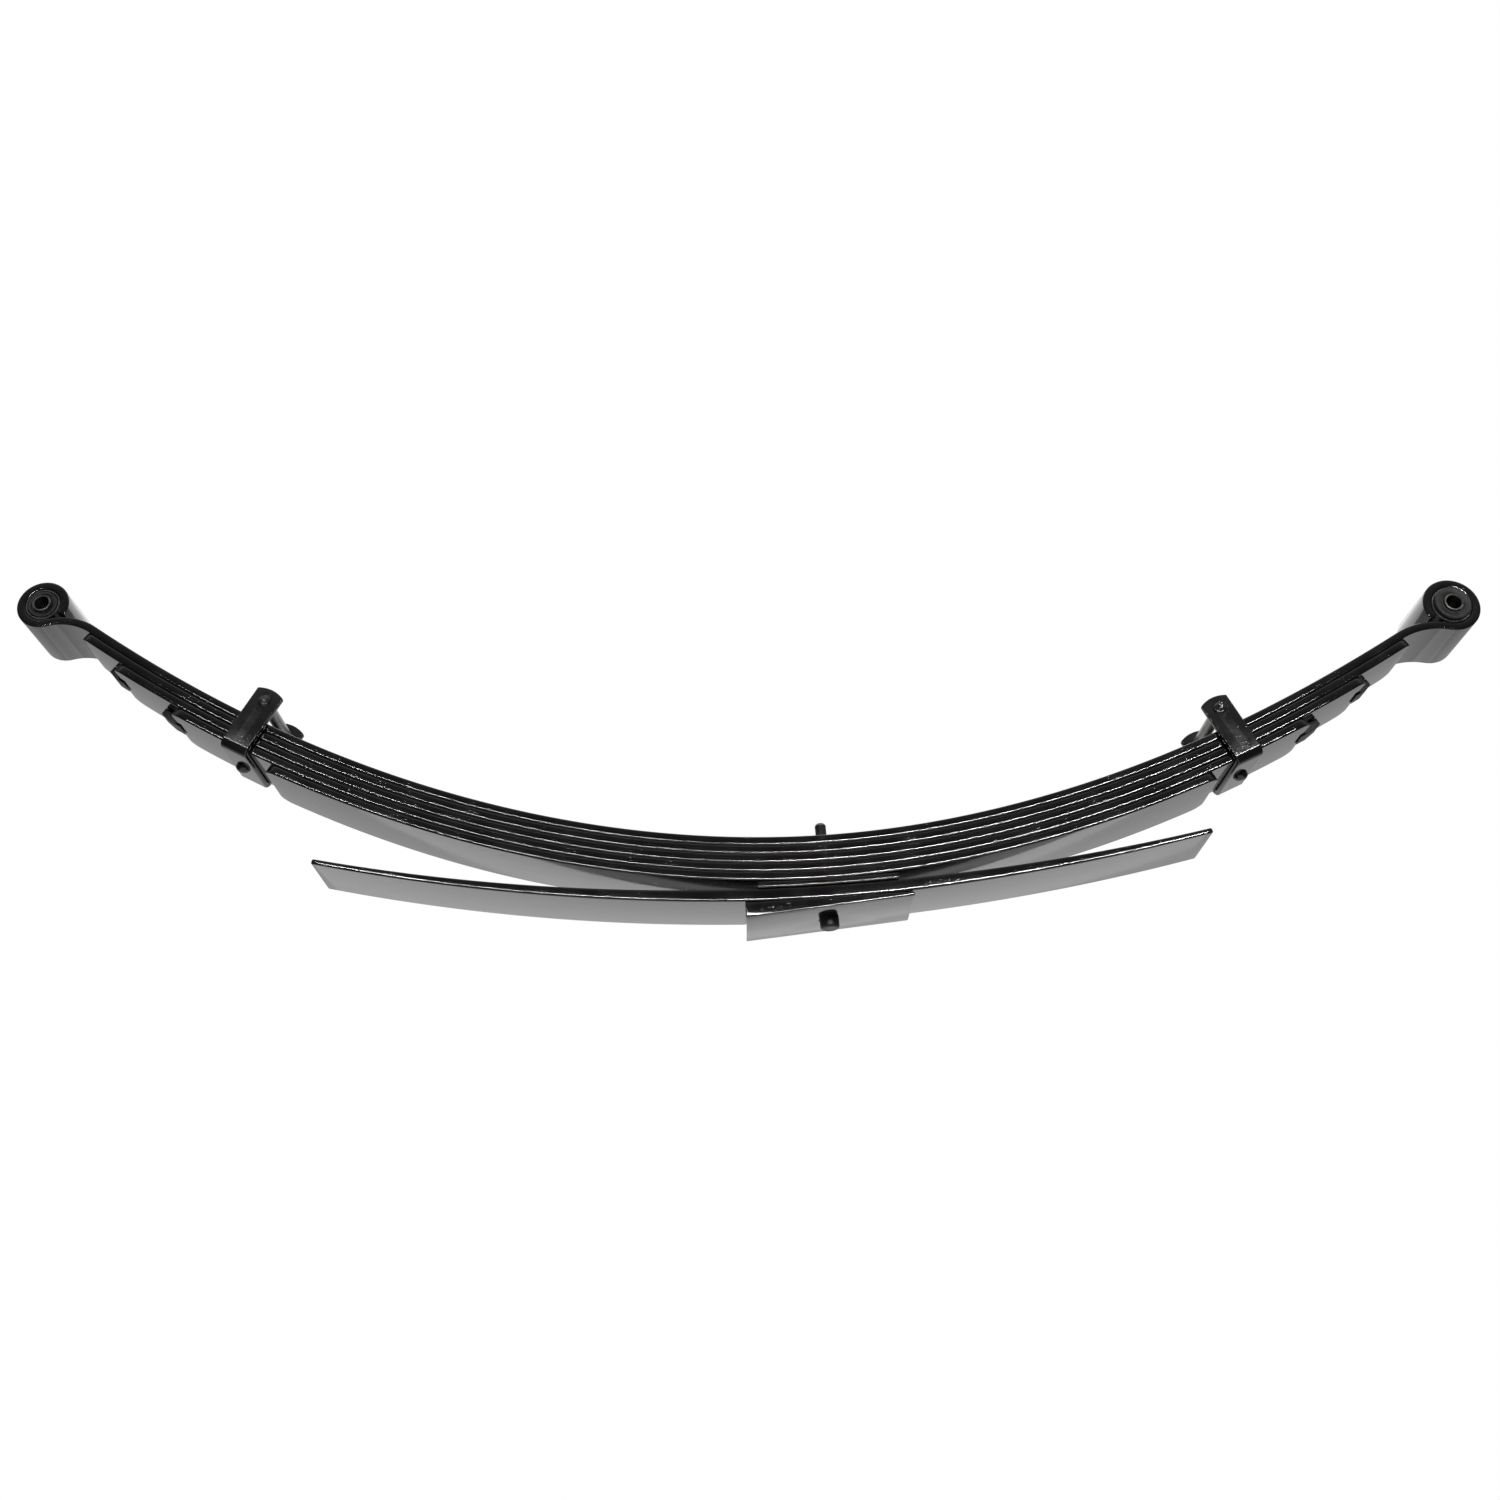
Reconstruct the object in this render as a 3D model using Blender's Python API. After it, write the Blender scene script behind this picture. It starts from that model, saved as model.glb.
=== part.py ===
"""Five-leaf truck rear spring with a tapered overload leaf, in metres, +Z up.

Origin: where the centre bolt's axis meets the axle seat, the under face of the wedge.
+X runs to the vehicle's front along the line between the eyes, +Y to its left.
Each half of a leaf is laid out outwards from the centre bolt: side +1 is the front
half and side -1 the rear half, and "along" is the arc length from the bolt.
"""

import math

import bmesh
import bpy
from mathutils import Vector

FRONT, REAR = 1, -1
SIDE_NAMES = {FRONT: "front", REAR: "rear"}

# Leaf stock and the stack over the axle seat
LEAF_WIDTH = 0.0635
LEAF_THICKNESS = 0.0073
GAP = 0.0003
LEAF_PITCH = LEAF_THICKNESS + GAP
LEAF_NAMES = ("main_leaf", "second_leaf", "third_leaf", "fourth_leaf", "fifth_leaf")
EDGE_ROUND = 0.0016
SPACER_THICKNESS = 0.0050
SPACER_HALF_LENGTH = 0.057
OVERLOAD_WIDTH = 0.0600
OVERLOAD_THICKNESS = 0.0106
OVERLOAD_TIP_THICKNESS = 0.0044
WEDGE_THICKNESS = 0.0078
WEDGE_HALF_LENGTH = 0.0685
WEDGE_ANGLE = math.radians(3.68)
SEAT_ANGLE = math.radians(4.12)  # tilt of the clamped centre to the line between the eyes

# Free curve of the pack's top face: curvature falls evenly from the bolt outwards
CENTRE_CURVATURE = {FRONT: 1.342, REAR: 1.337}
CURVATURE_LOSS = {FRONT: 1.543, REAR: 1.036}
LEAF_TIPS = {FRONT: (0.547, 0.490, 0.425, 0.329), REAR: (0.677, 0.633, 0.565, 0.466)}
TIP_CORNER_RADIUS = 0.011
OVERLOAD_TIPS = {FRONT: 0.320, REAR: 0.422}
OVERLOAD_TAPER_START = 0.060
OVERLOAD_RADIUS = {FRONT: 1.88, REAR: 1.68}

# Eyes, rolled upwards behind a reverse bend
EYE_CENTRE = {FRONT: (0.5495, 0.2782), REAR: (0.6842, 0.2784)}  # outward distance, height
EYE_BORE_RADIUS = {FRONT: 0.0177, REAR: 0.0152}
EYE_ENTRY_SLOPE = {FRONT: math.radians(-10), REAR: math.radians(-16)}
EYE_WRAP = math.radians(312)

# Bushings: steel shell, rubber and inner sleeve
SHELL_RADIUS = {FRONT: 0.0174, REAR: 0.0149}
SHELL_BORE_RADIUS = {FRONT: 0.0159, REAR: 0.0132}
RUBBER_RADIUS = {FRONT: 0.0156, REAR: 0.0129}
RUBBER_LIP_RADIUS = {FRONT: 0.0158, REAR: 0.0127}
RUBBER_OVERHANG = {FRONT: 0.0040, REAR: 0.0008}
SLEEVE_RADIUS = {FRONT: 0.0084, REAR: 0.0080}
SLEEVE_BORE_RADIUS = {FRONT: 0.0065, REAR: 0.00615}
SLEEVE_OVERHANG = {FRONT: 0.0052, REAR: 0.0032}
FLEX_ALONG = 0.150  # where each half of the pack is taken to bend

# Centre bolt
BOLT_RADIUS = 0.00475
BOLT_HOLE_RADIUS = 0.00505
BOLT_STUB = 0.0223
BOLT_HEAD_RADIUS = 0.00795
BOLT_HEAD_HEIGHT = 0.0091
SPOT_FACE_RADIUS = 0.0089
SPOT_FACE_HEIGHT = 0.0006
NUT_ACROSS_FLATS = 0.01429
NUT_HEIGHT = 0.0083

# Rebound clamps round the upper four leaves
CLAMP_ALONG = {FRONT: 0.359, REAR: 0.496}
CLAMPED_LEAVES = 4
STRAP_WIDTH = 0.025
STRAP_THICKNESS = 0.0046
STRAP_SIDE_CLEARANCE = 0.0010
STRAP_BEND_RADIUS = 0.0030
STRAP_ARM_HEIGHT = 0.0270
STRAP_ARM_CROWN = 0.0030
CROSS_BOLT_HEIGHT = 0.0150
CROSS_BOLT_RADIUS = 0.0040
CROSS_BOLT_HEAD_RADIUS = 0.0052
CROSS_BOLT_HEAD_HEIGHT = 0.0014
CROSS_BOLT_HOLE_RADIUS = 0.0043
TUBE_RADIUS = 0.0053
RIVET_RADIUS = 0.0035
RIVET_HOLE_RADIUS = 0.0038
RIVET_HEAD_RADIUS = 0.0065
RIVET_HEAD_HEIGHT = 0.0050

# Anti-friction tip pads, each a block beyond a leaf's tip with a tongue under it
PADDED_LEAVES = (2, 3)
PAD_HALF_WIDTH = 0.0085
PAD_LENGTHS = {2: 0.013, 3: 0.017}
PAD_TOE_THICKNESS = 0.0064
PAD_TONGUE_LENGTH = 0.004
PAD_TONGUE_THICKNESS = 0.0010

# Facets
STATION_STEP = 0.025
ROUND_SIDES = 32
CURVE_STEPS = 120


def stack_height():
    """Height of the main leaf's top face over the axle seat, along the centre bolt."""
    below = WEDGE_THICKNESS + GAP + OVERLOAD_THICKNESS + GAP + SPACER_THICKNESS
    return below + len(LEAF_NAMES) * LEAF_PITCH


def seat_point(height):
    """The point of the centre bolt's axis at a height over the axle seat, as (x, z)."""
    return -height * math.sin(SEAT_ANGLE), height * math.cos(SEAT_ANGLE)


def top_curve(side, along):
    """(outward, height, slope) of the pack's top face at an arc length from the bolt."""
    x, height = seat_point(stack_height())
    outward = side * x
    step = along / CURVE_STEPS
    slope = side * SEAT_ANGLE
    for count in range(CURVE_STEPS):
        middle = (count + 0.5) * step
        bend = CENTRE_CURVATURE[side] * middle - CURVATURE_LOSS[side] * middle**2 / 2
        slope = side * SEAT_ANGLE + bend
        outward += step * math.cos(slope)
        height += step * math.sin(slope)
    end_bend = CENTRE_CURVATURE[side] * along - CURVATURE_LOSS[side] * along**2 / 2
    return outward, height, side * SEAT_ANGLE + end_bend


def below_top(side, along, depth):
    """(outward, height, slope) of a point under the pack's top face, square to it."""
    outward, height, slope = top_curve(side, along)
    return outward + depth * math.sin(slope), height - depth * math.cos(slope), slope


def overload_curve(side, along, raised=0.0):
    """(outward, height, slope) of a point raised square off the overload leaf's top face."""
    x, height = seat_point(WEDGE_THICKNESS + GAP + OVERLOAD_THICKNESS)
    start = side * SEAT_ANGLE
    radius = OVERLOAD_RADIUS[side]
    slope = start + along / radius
    outward = side * x + radius * (math.sin(slope) - math.sin(start)) - raised * math.sin(slope)
    height += radius * (math.cos(start) - math.cos(slope)) + raised * math.cos(slope)
    return outward, height, slope


def evenly(start, end, step):
    """Values from start to end, both included, no further apart than step."""
    count = max(1, math.ceil(abs(end - start) / step - 1e-9))
    return [start + (end - start) * n / count for n in range(count + 1)]


def reverse_bend(side):
    """(along, radius) of the bend that carries the main leaf's mid-line into its eye."""
    entry = EYE_ENTRY_SLOPE[side]
    eye_radius = EYE_BORE_RADIUS[side] + LEAF_THICKNESS / 2
    eye_outward = EYE_CENTRE[side][0] + eye_radius * math.sin(entry)
    eye_height = EYE_CENTRE[side][1] - eye_radius * math.cos(entry)
    low, high = 0.5, 0.72
    radius = 0.0
    for _ in range(40):
        along = (low + high) / 2
        outward, height, slope = below_top(side, along, LEAF_THICKNESS / 2)
        run = eye_outward - outward
        rise = eye_height - height
        turn = math.sin(slope) - math.sin(entry)
        radius = run / turn
        if run * (math.cos(entry) - math.cos(slope)) < rise * turn:
            low = along
        else:
            high = along
    return low, radius


def eye_path(side):
    """Mid-line stations (outward, height, slope) of the reverse bend and the eye."""
    along, radius = reverse_bend(side)
    outward, height, slope = below_top(side, along, LEAF_THICKNESS / 2)
    start = EYE_ENTRY_SLOPE[side]
    stations = []
    for angle in evenly(slope, start, math.radians(7))[1:]:
        stations.append((outward + radius * (math.sin(slope) - math.sin(angle)),
                         height + radius * (math.cos(angle) - math.cos(slope)), angle))
    eye_radius = EYE_BORE_RADIUS[side] + LEAF_THICKNESS / 2
    for angle in evenly(start, start + EYE_WRAP, math.radians(12))[1:]:
        stations.append((EYE_CENTRE[side][0] + eye_radius * math.sin(angle),
                         EYE_CENTRE[side][1] - eye_radius * math.cos(angle), angle))
    return stations


def flex_pivot(side):
    """The point of the main leaf that its half of the pack is taken to bend about."""
    outward, height, _ = below_top(side, FLEX_ALONG, LEAF_THICKNESS / 2)
    return side * outward, 0.0, height


def material(name, colour, roughness, metallic=0.0):
    """A Principled material with the piece's colour, roughness and metallic value."""
    made = bpy.data.materials.get(name) or bpy.data.materials.new(name)
    made.use_nodes = True
    shader = made.node_tree.nodes["Principled BSDF"]
    shader.inputs["Base Color"].default_value = (*colour, 1.0)
    shader.inputs["Roughness"].default_value = roughness
    shader.inputs["Metallic"].default_value = metallic
    return made


def add_object(name, mesh_data, finish, origin=(0.0, 0.0, 0.0)):
    """Closes a bmesh into a named object whose origin is at a world point."""
    bmesh.ops.recalc_face_normals(mesh_data, faces=mesh_data.faces)
    bmesh.ops.translate(mesh_data, verts=mesh_data.verts, vec=-Vector(origin))
    mesh = bpy.data.meshes.new(name)
    mesh_data.to_mesh(mesh)
    mesh_data.free()
    mesh.shade_smooth()
    mesh.set_sharp_from_angle(angle=math.radians(35))
    mesh.materials.append(finish)
    made = bpy.data.objects.new(name, mesh)
    made.location = origin
    bpy.context.scene.collection.objects.link(made)
    return made


def skin(rings, closed=False):
    """A bmesh through equal rings of points: capped at both ends, or closed on itself."""
    made = bmesh.new()
    loops = [[made.verts.new(point) for point in ring] for ring in rings]
    pairs = list(zip(loops, loops[1:]))
    if closed:
        pairs.append((loops[-1], loops[0]))
    for first, second in pairs:
        for n, corner in enumerate(first):
            after = (n + 1) % len(first)
            made.faces.new((corner, first[after], second[after], second[n]))
    if not closed:
        made.faces.new(loops[0])
        made.faces.new(loops[-1])
    return made


def bar_section(y, z):
    """Corners (across, up) of a flat bar's section with rounded edges."""
    flat = y - min(EDGE_ROUND, 0.5 * z)
    side = 0.4 * z
    upper = ((y, side), (flat, z), (-flat, z), (-y, side))
    return upper + tuple((-across, -up) for across, up in upper)


def bar(side_stations):
    """A flat bar through stations (side, outward, height, slope, half width, half thickness)."""
    rings = []
    for side, outward, height, slope, half_width, half_thickness in side_stations:
        up = -side * math.sin(slope), math.cos(slope)
        section = bar_section(half_width, half_thickness)
        rings.append([(side * outward + z * up[0], y, height + z * up[1]) for y, z in section])
    return skin(rings)


def turned(profile, axis_point, axis, sides=ROUND_SIDES):
    """Revolves a closed profile of (radius, along) round an axis through a point."""
    spin = Vector(axis).to_track_quat("Z", "Y").to_matrix()
    rings = []
    for n in range(sides):
        angle = 2 * math.pi * n / sides
        ring = [spin @ Vector((r * math.cos(angle), r * math.sin(angle), z)) + Vector(axis_point)
                for r, z in profile]
        rings.append(ring)
    return skin(rings, closed=True)


def drill(target, name, radius, point, axis, half_length):
    """Cuts a round hole through an object with a hidden cutter."""
    profile = ((radius, -half_length), (radius, half_length))
    cutter = add_object(name, disc_stack(profile, point, axis, 24), target.data.materials[0])
    cutter.hide_render = True
    cutter.display_type = "WIRE"
    cut = target.modifiers.new(name, "BOOLEAN")
    cut.operation = "DIFFERENCE"
    cut.solver = "EXACT"
    cut.object = cutter


def disc_stack(profile, point, axis, sides=ROUND_SIDES, phase=0.0):
    """A solid through coaxial circles of (radius, along), capped flat at both ends."""
    spin = Vector(axis).to_track_quat("Z", "Y").to_matrix()
    rings = []
    for radius, along in profile:
        angles = [phase + 2 * math.pi * n / sides for n in range(sides)]
        rings.append([spin @ Vector((radius * math.cos(a), radius * math.sin(a), along))
                      + Vector(point) for a in angles])
    return skin(rings)


def shared_rows(end):
    """Arc lengths that all the leaves share, up to an end."""
    return [n * STATION_STEP for n in range(math.ceil(end / STATION_STEP - 0.2))]


def main_leaf_half(side):
    end, _ = reverse_bend(side)
    rows = shared_rows(end) + [end]
    mid = [below_top(side, along, LEAF_THICKNESS / 2) for along in rows] + eye_path(side)
    return [(side, *station, LEAF_WIDTH / 2, LEAF_THICKNESS / 2) for station in mid]


def plain_leaf_half(index, side):
    """Stations of one half of a lower leaf, whose square tip has rounded corners."""
    depth = index * LEAF_PITCH + LEAF_THICKNESS / 2
    tip = LEAF_TIPS[side][index - 1]
    start = tip - TIP_CORNER_RADIUS
    stations = []
    for along in shared_rows(start):
        mid = below_top(side, along, depth)
        stations.append((side, *mid, LEAF_WIDTH / 2, LEAF_THICKNESS / 2))
    for degrees in (0, 30, 55, 75, 90):
        turn = math.radians(degrees)
        mid = below_top(side, start + TIP_CORNER_RADIUS * math.sin(turn), depth)
        narrowed = TIP_CORNER_RADIUS * (1 - math.cos(turn))
        stations.append((side, *mid, LEAF_WIDTH / 2 - narrowed, LEAF_THICKNESS / 2))
    return stations


def overload_half(side):
    """Stations of one half of the overload leaf, which thins evenly to its square tip."""
    tip = OVERLOAD_TIPS[side]
    stations = []
    for along in [0.0] + evenly(OVERLOAD_TAPER_START, tip, STATION_STEP):
        share = max(0.0, along - OVERLOAD_TAPER_START) / (tip - OVERLOAD_TAPER_START)
        thickness = OVERLOAD_THICKNESS + share * (OVERLOAD_TIP_THICKNESS - OVERLOAD_THICKNESS)
        mid = overload_curve(side, along, -thickness / 2)
        stations.append((side, *mid, OVERLOAD_WIDTH / 2, thickness / 2))
    return stations


def spacer_half(side):
    """Stations of one half of the plate that lies along the overload leaf's top face."""
    stations = []
    for along in evenly(0.0, SPACER_HALF_LENGTH, STATION_STEP):
        mid = overload_curve(side, along, GAP + SPACER_THICKNESS / 2)
        stations.append((side, *mid, LEAF_WIDTH / 2, SPACER_THICKNESS / 2))
    return stations


def bolt_axis():
    return Vector((-math.sin(SEAT_ANGLE), 0.0, math.cos(SEAT_ANGLE)))


def drill_for_bolt(target):
    middle = bolt_axis() * (stack_height() / 2)
    drill(target, f"{target.name}_bolt_hole", BOLT_HOLE_RADIUS, middle, bolt_axis(), 0.06)


def build_leaves(finish):
    stations = main_leaf_half(REAR)[:0:-1] + main_leaf_half(FRONT)
    leaves = [add_object(LEAF_NAMES[0], bar(stations), finish)]
    for index, name in list(enumerate(LEAF_NAMES))[1:]:
        stations = plain_leaf_half(index, REAR)[:0:-1] + plain_leaf_half(index, FRONT)
        leaves.append(add_object(name, bar(stations), finish))
    stations = overload_half(REAR)[:0:-1] + overload_half(FRONT)
    leaves.append(add_object("overload_leaf", bar(stations), finish))
    for leaf in leaves:
        drill_for_bolt(leaf)
    for side in (FRONT, REAR):
        point, up, _ = clamp_frame(side)
        drill(leaves[CLAMPED_LEAVES - 1], f"{SIDE_NAMES[side]}_rivet_hole", RIVET_HOLE_RADIUS,
              point - up * (clamp_depth() - LEAF_THICKNESS / 2), up, LEAF_THICKNESS / 2 + GAP / 2)


def build_spacer(finish):
    """The plate between the pack and the overload leaf."""
    stations = spacer_half(REAR)[:0:-1] + spacer_half(FRONT)
    drill_for_bolt(add_object("pack_spacer", bar(stations), finish))


def build_wedge(finish):
    """The tapered plate on the axle seat, thick at the rear, spot-faced for the bolt's head."""
    low = SEAT_ANGLE + WEDGE_ANGLE
    top_x, top_z = seat_point(WEDGE_THICKNESS)
    rings = []
    for across in (-LEAF_WIDTH / 2, LEAF_WIDTH / 2):
        ring = []
        for reach in (-WEDGE_HALF_LENGTH, WEDGE_HALF_LENGTH):
            ring.append((reach * math.cos(low), across, reach * math.sin(low)))
        for reach in (WEDGE_HALF_LENGTH, -WEDGE_HALF_LENGTH):
            ring.append((top_x + reach * math.cos(SEAT_ANGLE), across,
                         top_z + reach * math.sin(SEAT_ANGLE)))
        rings.append(ring)
    wedge = add_object("axle_wedge", skin(rings), finish)
    drill(wedge, "bolt_head_spot_face", SPOT_FACE_RADIUS,
          bolt_axis() * (SPOT_FACE_HEIGHT - 0.01), bolt_axis(), 0.01)
    drill_for_bolt(wedge)


def build_center_bolt(finish):
    """Round-headed bolt up through the stack, and the hexagon nut on the main leaf."""
    axis = bolt_axis()
    head_top = SPOT_FACE_HEIGHT - GAP
    end = stack_height() + BOLT_STUB
    profile = (
        (BOLT_HEAD_RADIUS - 0.0014, head_top - BOLT_HEAD_HEIGHT),
        (BOLT_HEAD_RADIUS - 0.0004, head_top - BOLT_HEAD_HEIGHT + 0.0005),
        (BOLT_HEAD_RADIUS, head_top - BOLT_HEAD_HEIGHT + 0.0015),
        (BOLT_HEAD_RADIUS, head_top),
        (BOLT_RADIUS, head_top),
        (BOLT_RADIUS, end - 0.0024),
        (BOLT_RADIUS - 0.0008, end - 0.0009),
        (BOLT_RADIUS - 0.0026, end),
    )
    add_object("center_bolt", disc_stack(profile, (0, 0, 0), axis), finish)
    base = stack_height() + GAP
    corner = NUT_ACROSS_FLATS / 2 / math.cos(math.radians(30))
    outline = ((corner - 0.0008, base), (corner, base + 0.0006),
               (corner, base + NUT_HEIGHT - 0.0008), (corner - 0.0010, base + NUT_HEIGHT))
    nut = add_object("center_nut", disc_stack(outline, (0, 0, 0), axis, 6), finish)
    drill(nut, "nut_thread_hole", BOLT_HOLE_RADIUS, axis * (base + NUT_HEIGHT / 2), axis, NUT_HEIGHT)


def eye_point(side, across=0.0):
    outward, height = EYE_CENTRE[side]
    return Vector((side * outward, across, height))


def build_bushing(side, steel, rubber):
    """Outer shell, rubber and inner sleeve of one eye; the sleeve turns on its own axis."""
    name = SIDE_NAMES[side]
    centre = eye_point(side)
    across = (0, 1, 0)
    half = LEAF_WIDTH / 2
    bore, shell = SHELL_BORE_RADIUS[side], SHELL_RADIUS[side]
    profile = ((bore, -half), (shell, -half), (shell, half), (bore, half))
    add_object(f"{name}_bushing_shell", turned(profile, centre, across), steel, flex_pivot(side))

    hollow, body, lip = SLEEVE_RADIUS[side] + GAP, RUBBER_RADIUS[side], RUBBER_LIP_RADIUS[side]
    neck, end = half + GAP, half + RUBBER_OVERHANG[side]
    profile = ((hollow, -end), (lip - 0.0006, -end), (lip, 0.0003 - end), (lip, -neck),
               (body, 0.0012 - neck), (body, neck - 0.0012),
               (lip, neck), (lip, end - 0.0003), (lip - 0.0006, end), (hollow, end))
    ring = turned(profile, centre, across)
    add_object(f"{name}_bushing_rubber", ring, rubber, flex_pivot(side))

    end = half + SLEEVE_OVERHANG[side]
    inner, outer = SLEEVE_BORE_RADIUS[side], SLEEVE_RADIUS[side]
    profile = ((inner, 0.0005 - end), (inner + 0.0005, -end), (outer - 0.0004, -end),
               (outer, 0.0004 - end), (outer, end - 0.0004), (outer - 0.0004, end),
               (inner + 0.0005, end), (inner, end - 0.0005))
    add_object(f"{name}_inner_sleeve", turned(profile, centre, across), steel, centre)


def clamp_frame(side):
    """A clamp's point on the pack's top face, its up direction and its lengthwise direction."""
    outward, height, slope = top_curve(side, CLAMP_ALONG[side])
    point = Vector((side * outward, 0.0, height))
    up = Vector((-side * math.sin(slope), 0.0, math.cos(slope)))
    lengthwise = Vector((side * math.cos(slope), 0.0, math.sin(slope)))
    return point, up, lengthwise


def clamp_depth():
    """Depth of the clamped leaves' under face below the pack's top face."""
    return CLAMPED_LEAVES * LEAF_PITCH - GAP


def strap_outline():
    """Outer and inner (across, up) rows of a strap from one arm's foot to the other's."""
    floor = -clamp_depth() - GAP
    side = LEAF_WIDTH / 2 + STRAP_SIDE_CLEARANCE
    radius = STRAP_BEND_RADIUS
    outer, inner = [], []
    for corner, start in ((radius - side, 180), (side - radius, 270)):
        for degrees in (0, 22.5, 45, 67.5, 90):
            turn = math.radians(start + degrees)
            for row, reach in ((outer, radius + STRAP_THICKNESS), (inner, radius)):
                row.append((corner + reach * math.cos(turn), floor + radius + reach * math.sin(turn)))
    return outer, inner


def build_strap(side, finish):
    """U strap bent from flat bar, with crowned arm tops and holes for its bolt and rivet."""
    name = SIDE_NAMES[side]
    point, up, lengthwise = clamp_frame(side)
    outer, inner = strap_outline()
    outside, inside = outer[-1][0], inner[-1][0]
    rings = []
    for along in evenly(-STRAP_WIDTH / 2, STRAP_WIDTH / 2, STRAP_WIDTH / 6):
        top = STRAP_ARM_HEIGHT - STRAP_ARM_CROWN * (2 * along / STRAP_WIDTH) ** 2
        arms = [(outside, top), (inside, top)], [(-inside, top), (-outside, top)]
        outline = outer + arms[0] + inner[::-1] + arms[1]
        rings.append([point + Vector((0.0, across, 0.0)) + up * height + lengthwise * along
                      for across, height in outline])
    strap = add_object(f"{name}_clamp_strap", skin(rings), finish, flex_pivot(side))
    drill(strap, f"{name}_cross_bolt_hole", CROSS_BOLT_HOLE_RADIUS,
          point + up * CROSS_BOLT_HEIGHT, (0, 1, 0), LEAF_WIDTH)
    drill(strap, f"{name}_strap_rivet_hole", RIVET_HOLE_RADIUS,
          point - up * (clamp_depth() + GAP + STRAP_THICKNESS / 2), up, STRAP_THICKNESS)


def build_clamp_fasteners(side, finish, bright):
    """The cross bolt with its spacer tube, and the rivet up into the lowest clamped leaf."""
    name = SIDE_NAMES[side]
    point, up, _ = clamp_frame(side)
    across = (0, 1, 0)
    middle = point + up * CROSS_BOLT_HEIGHT
    inside = LEAF_WIDTH / 2 + STRAP_SIDE_CLEARANCE
    foot = inside + STRAP_THICKNESS + GAP
    head, crest = CROSS_BOLT_HEAD_RADIUS, foot + CROSS_BOLT_HEAD_HEIGHT
    half = ((CROSS_BOLT_RADIUS, foot), (head, foot), (head, foot + 0.0003),
            (head - 0.0012, crest - 0.0004), (head - 0.0032, crest))
    profile = [(radius, -along) for radius, along in half[::-1]] + list(half)
    bolt = disc_stack(profile, middle, across, 24)
    add_object(f"{name}_clamp_bolt", bolt, finish, flex_pivot(side))

    end, bore = inside - GAP, CROSS_BOLT_HOLE_RADIUS
    profile = ((bore, -end), (TUBE_RADIUS, -end), (TUBE_RADIUS, end), (bore, end))
    tube = turned(profile, middle, across, 24)
    add_object(f"{name}_clamp_tube", tube, bright, flex_pivot(side))

    base = -clamp_depth() - GAP - STRAP_THICKNESS - GAP
    profile = []
    for degrees in (15, 40, 65, 85):
        turn = math.radians(degrees)
        radius = RIVET_HEAD_RADIUS * math.sin(turn)
        profile.append((radius, base - RIVET_HEAD_HEIGHT * math.cos(turn)))
    profile += [(RIVET_HEAD_RADIUS, base), (RIVET_RADIUS, base),
                (RIVET_RADIUS, -clamp_depth() + LEAF_THICKNESS - GAP)]
    rivet = disc_stack(profile, point, up, 24)
    add_object(f"{name}_clamp_rivet", rivet, finish, flex_pivot(side))


def build_tip_pad(side, index, name, finish):
    """A block just beyond a leaf's tip, with a tongue that hooks under the leaf."""
    tip = LEAF_TIPS[side][index - 1]
    top = index * LEAF_PITCH
    foot = top + LEAF_PITCH
    low = foot + PAD_TONGUE_THICKNESS
    near, far = tip + GAP, tip + PAD_LENGTHS[index]
    outline = ((near, top), (far, top), (far, top + PAD_TOE_THICKNESS), (near + 0.005, low),
               (tip - PAD_TONGUE_LENGTH, low), (tip - PAD_TONGUE_LENGTH, foot), (near, foot))
    rings = []
    for across in (-PAD_HALF_WIDTH, PAD_HALF_WIDTH):
        ring = []
        for along, depth in outline:
            outward, height, _ = below_top(side, along, depth)
            ring.append((side * outward, across, height))
        rings.append(ring)
    add_object(f"{SIDE_NAMES[side]}_tip_pad_{name}", skin(rings), finish, flex_pivot(side))


def clear_scene():
    for old in list(bpy.data.objects):
        bpy.data.objects.remove(old, do_unlink=True)


def main():
    clear_scene()
    black_steel = material("black_painted_steel", (0.012, 0.012, 0.013), 0.30)
    fastener_steel = material("phosphated_steel", (0.045, 0.045, 0.048), 0.38, 0.6)
    tube_steel = material("plain_steel_tube", (0.22, 0.22, 0.23), 0.42, 0.9)
    rubber = material("black_rubber", (0.014, 0.014, 0.014), 0.62)
    plastic = material("black_plastic", (0.010, 0.010, 0.011), 0.45)
    build_leaves(black_steel)
    build_spacer(black_steel)
    build_wedge(black_steel)
    build_center_bolt(fastener_steel)
    for side in (FRONT, REAR):
        build_bushing(side, fastener_steel, rubber)
        build_strap(side, black_steel)
        build_clamp_fasteners(side, black_steel, tube_steel)
        for index, name in zip(PADDED_LEAVES, ("upper", "lower")):
            build_tip_pad(side, index, name, plastic)


main()
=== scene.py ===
"""Looks of the leaf spring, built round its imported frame, in metres, +Z up.

The frame's origin is the middle of the axle seat, +X runs to the vehicle's front. Each
half of the spring is laid out outwards from the centre bolt: "along" is arc length on
the pack's top face, "depth" is distance below it, and a slope is positive where the leaf
climbs outwards.
"""

import math

import bmesh
import bpy
from mathutils import Matrix, Vector


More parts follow.
